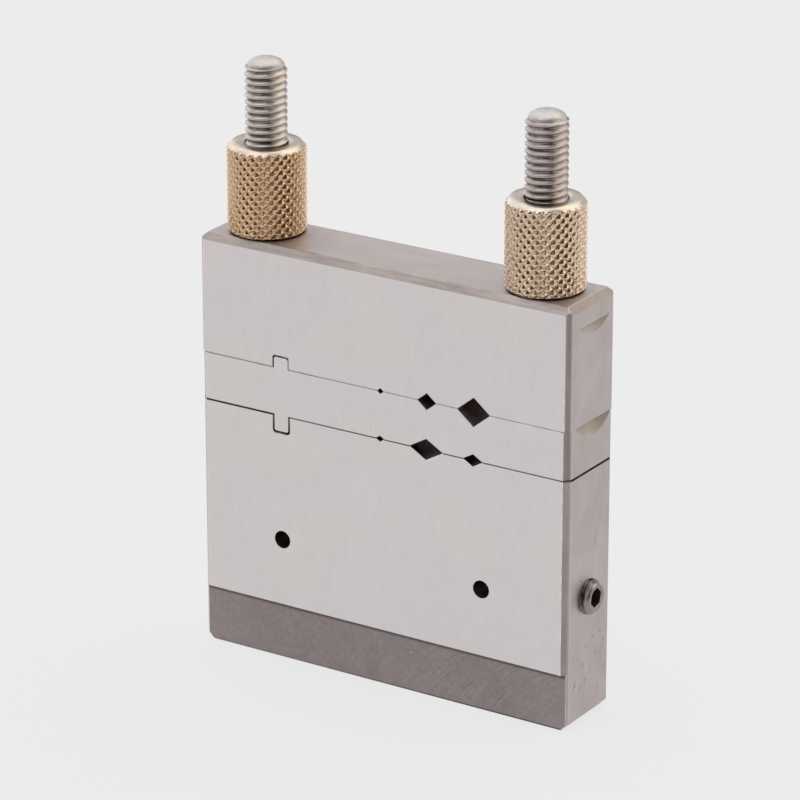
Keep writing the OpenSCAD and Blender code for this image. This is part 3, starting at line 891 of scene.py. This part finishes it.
# Sky: softboxes and dark sides, each with its turn right of the camera's side and its rise above the floor,
# the angles within which it is full and beyond which it is gone, its level and its tint
VIEW_AZ = -57.2
COOL, WARM, PLAIN, BROWN = (0.97, 1.0, 1.06), (1.03, 0.99, 0.93), (1.0, 1.0, 1.0), (1.5, 0.9, 0.5)
SKY_LEVEL = 0.62
LOBES = ((180, 75, 22, 58, 1.5, PLAIN), (0, 30, 36, 54, 0.045, BROWN), (58, 42, 15, 40, 0.25, PLAIN),
         (60, 1, 11, 29, 1.7, WARM), (113, -1, 10, 26, 1.8, WARM), (-135, 14, 20, 42, 1.5, COOL),
         (117, 55, 19, 35, 1.8, WARM), (-53, 63, 13, 36, 1.7, COOL))

world = bpy.data.worlds.new("studio")
scene.world = world
world.use_nodes = True
sky = world.node_tree
toward = sky.nodes.new("ShaderNodeTexCoord").outputs["Generated"]


def heading(turn, rise):
    """Direction that many degrees to the right of the camera's side and above the floor."""
    a, e = math.radians(VIEW_AZ + turn), math.radians(rise)
    return (math.cos(a) * math.cos(e), math.sin(a) * math.cos(e), math.sin(e))


def lobe(turn, rise, inner, outer):
    """A round patch of the surroundings, full within inner degrees and gone at outer."""
    dot = sky.nodes.new("ShaderNodeVectorMath")
    dot.operation = "DOT_PRODUCT"
    sky.links.new(toward, dot.inputs[0])
    dot.inputs[1].default_value = heading(turn, rise)
    span = sky.nodes.new("ShaderNodeMapRange")
    span.interpolation_type = "SMOOTHSTEP"
    sky.links.new(dot.outputs["Value"], span.inputs["Value"])
    span.inputs["From Min"].default_value = math.cos(math.radians(outer))
    span.inputs["From Max"].default_value = math.cos(math.radians(inner))
    return span.outputs["Result"]


def blend_sky(factor, below, color):
    """Lays a colour over the sky so far, which is a colour too at first."""
    n = sky.nodes.new("ShaderNodeMix")
    n.data_type = "RGBA"
    sky.links.new(factor, n.inputs["Factor"])
    first, second = [s for s in n.inputs if s.type == "RGBA"]
    if isinstance(below, bpy.types.NodeSocket):
        sky.links.new(below, first)
    else:
        first.default_value = (*below, 1.0)
    second.default_value = (*color, 1.0)
    return [s for s in n.outputs if s.type == "RGBA"][0]


tone = (SKY_LEVEL, SKY_LEVEL, SKY_LEVEL)
for turn, rise, inner, outer, level, tint in LOBES:
    tone = blend_sky(lobe(turn, rise, inner, outer), tone, tuple(level * c for c in tint))
sky.links.new(tone, sky.nodes["Background"].inputs["Color"])
sky.nodes["Background"].inputs["Strength"].default_value = 1.0


# Camera: sensor in millimetres, the photograph's width and the focal length in its pixels, and the view
SENSOR, PHOTO_PIXELS, FOCAL_PIXELS = 36, 800, 4509
CAMERA_TURN, CAMERA_RISE, CAMERA_FAR, AIM_Z = 32.80, 20.57, 620.78 * MM, 42.893 * MM

cam_data = bpy.data.cameras.new("camera")
cam_data.sensor_width = SENSOR
cam_data.lens = FOCAL_PIXELS / PHOTO_PIXELS * SENSOR
cam_data.shift_x = -0.0049
cam_data.shift_y = -0.01765
cam_data.clip_start = 0.01
cam_data.clip_end = 50
cam = bpy.data.objects.new("camera", cam_data)
scene.collection.objects.link(cam)
az, el = math.radians(CAMERA_TURN), math.radians(CAMERA_RISE)
back = Vector((math.sin(az) * math.cos(el), -math.cos(az) * math.cos(el), math.sin(el)))
cam.location = Vector((0, 0, AIM_Z)) + back * CAMERA_FAR
cam.rotation_euler = (-back).to_track_quat("-Z", "Y").to_euler()
scene.camera = cam

scene.view_settings.view_transform = "Standard"
